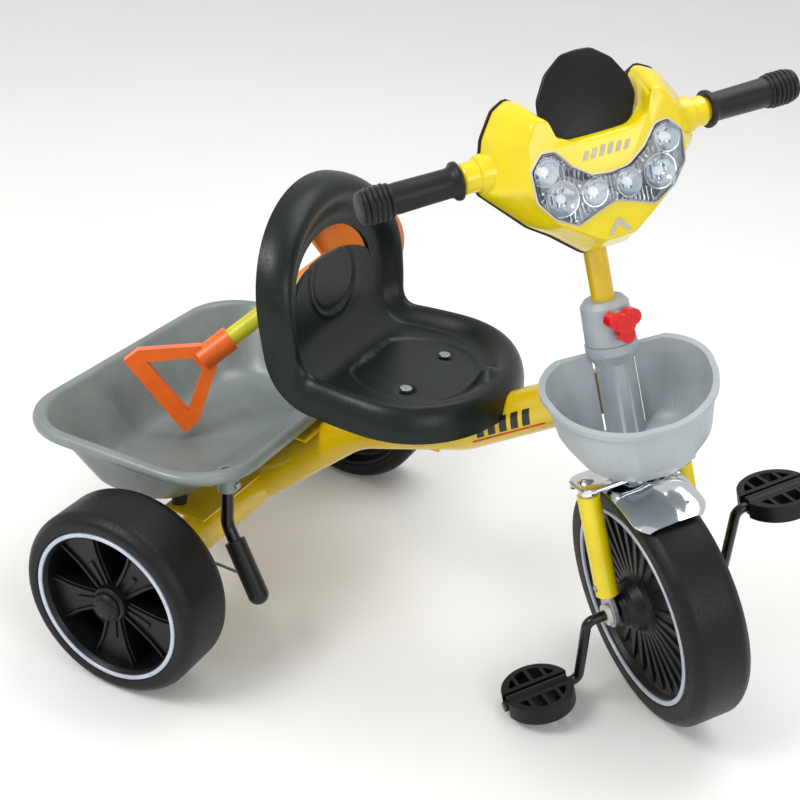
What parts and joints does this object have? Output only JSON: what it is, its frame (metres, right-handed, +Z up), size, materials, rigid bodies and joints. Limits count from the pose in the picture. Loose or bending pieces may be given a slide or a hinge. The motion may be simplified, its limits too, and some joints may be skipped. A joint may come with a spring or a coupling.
{
  "type": "children's tricycle",
  "caption": "Child's pedal tricycle with a tipping rear tub, bucket seat, steered front basket, lamp cowl on the handlebar and a toy shovel riding in the tub.",
  "frame": {"origin": "on the floor at the centre of the bounding box's bottom face", "axes": "+X forward in the riding direction, +Y to the rider's left, +Z up; floor at z = 0"},
  "size_m": [0.7504, 0.546, 0.6343],
  "materials": {
    "frame_yellow": "gloss",
    "cover_yellow": "gloss",
    "cowl_yellow": "gloss",
    "black_plastic": "satin",
    "seat_black": "satin",
    "tyre_black": "satin",
    "wheel_black": "satin",
    "ring_silver": "satin",
    "grip_black": "matte",
    "pad_rubber": "matte",
    "basket_grey": "satin",
    "tub_grey": "satin",
    "knob_red": "gloss",
    "shovel_orange": "gloss",
    "handle_orange": "gloss",
    "shaft_yellow": "gloss",
    "chrome": "polished",
    "zinc": "satin",
    "black_steel": "satin",
    "nylon_white": "satin",
    "lens_clear": "polished",
    "reflector_silver": "polished",
    "bulb_clear": "gloss"
  },
  "bodies": {
    "frame": {"main_tube": "frame_yellow", "axle_tube": "frame_yellow", "head_tube": "frame_yellow", "head_gusset": "frame_yellow", "headset_bushes": "nylon_white", "seat_bracket": "frame_yellow", "seat": "seat_black", "seat_fasteners": "zinc", "rear_axle": "zinc", "axle_plugs": "black_plastic", "axle_nuts": "zinc", "tub_carrier": "frame_yellow", "tub_rest_pads": "pad_rubber", "tub_hinge_arms": "frame_yellow", "tub_hinge_pin": "zinc", "lever_stop_wire": "zinc"},
    "rear_wheel_right": {"rear_tyre_right": "tyre_black", "rear_rim_right": "wheel_black", "rear_ring_right": "ring_silver", "rear_hub_cap_right": "black_plastic"},
    "rear_wheel_left": {"rear_tyre_left": "tyre_black", "rear_rim_left": "wheel_black", "rear_ring_left": "ring_silver", "rear_hub_cap_left": "black_plastic"},
    "fork": {"fork_steerer": "chrome", "fork_crown": "chrome", "fork_legs": "chrome", "fork_ends": "zinc", "fork_bushes": "nylon_white", "leg_covers": "cover_yellow", "leg_screws": "zinc", "front_basket": "basket_grey", "stem_collar": "basket_grey"},
    "clamp": {"clamp_knob": "knob_red", "knob_stud": "zinc"},
    "bars": {"stem": "frame_yellow", "handlebar": "frame_yellow", "grip_right": "grip_black", "grip_left": "grip_black", "cowl_front": "cowl_yellow", "cowl_rear": "black_plastic", "cowl_screws": "zinc", "lamp_reflector": "reflector_silver", "lamp_bulbs": "bulb_clear", "lamp_lens": "lens_clear", "cowl_screen": "black_plastic"},
    "front_wheel": {"front_tyre": "tyre_black", "front_rim": "wheel_black", "front_rings": "ring_silver", "crank_axle": "black_steel"},
    "pedal_right_body": {"pedal_right": "black_plastic"},
    "pedal_left_body": {"pedal_left": "black_plastic"},
    "tub": {"rear_tub": "tub_grey", "lever_rod": "black_steel", "lever_grip": "grip_black", "lever_screw": "zinc"},
    "shovel": {"shovel_handle": "handle_orange", "shovel_shaft": "shaft_yellow", "shovel_blade": "shovel_orange"}
  },
  "joints": [
    {"name": "rear_right_spin", "type": "hinge", "parent": "frame", "child": "rear_wheel_right", "pos_m": [-0.196, -0.236, 0.098], "axis": [0, 1, 0], "continuous": true},
    {"name": "rear_left_spin", "type": "hinge", "parent": "frame", "child": "rear_wheel_left", "pos_m": [-0.196, 0.236, 0.098], "axis": [0, 1, 0], "continuous": true},
    {"name": "steering", "type": "hinge", "parent": "frame", "child": "fork", "pos_m": [0.19389, 0, 0.31485], "axis": [-0.3256, 0, 0.9455], "range_deg": [-2, 90]},
    {"name": "front_spin", "type": "hinge", "parent": "fork", "child": "front_wheel", "pos_m": [0.259, 0, 0.12574], "axis": [0.6568, 0.7193, 0.2262], "continuous": true},
    {"name": "pedal_right_spin", "type": "hinge", "parent": "front_wheel", "child": "pedal_right_body", "pos_m": [0.18018, -0.07633, 0.0226], "axis": [0.6568, 0.7193, 0.2262], "continuous": true},
    {"name": "pedal_left_spin", "type": "hinge", "parent": "front_wheel", "child": "pedal_left_body", "pos_m": [0.33782, 0.07633, 0.22888], "axis": [0.6568, 0.7193, 0.2262], "continuous": true},
    {"name": "stem_height", "type": "slide", "parent": "fork", "child": "bars", "axis": [-0.3256, 0, 0.9455], "range_m": [-0.03, 0.02]},
    {"name": "clamp_turn", "type": "hinge", "parent": "fork", "child": "clamp", "pos_m": [0.18499, -0.02084, 0.40697], "axis": [0.6801, -0.6947, 0.2342], "range_deg": [0, 540]},
    {"name": "tub_tip", "type": "hinge", "parent": "frame", "child": "tub", "pos_m": [-0.301, 0, 0.121], "axis": [0, -1, 0], "range_deg": [0, 60]},
    {"name": "shovel_lift", "type": "slide", "parent": "tub", "child": "shovel", "axis": [-0.5, 0, 0.866], "range_m": [0, 0.25]}
  ]
}
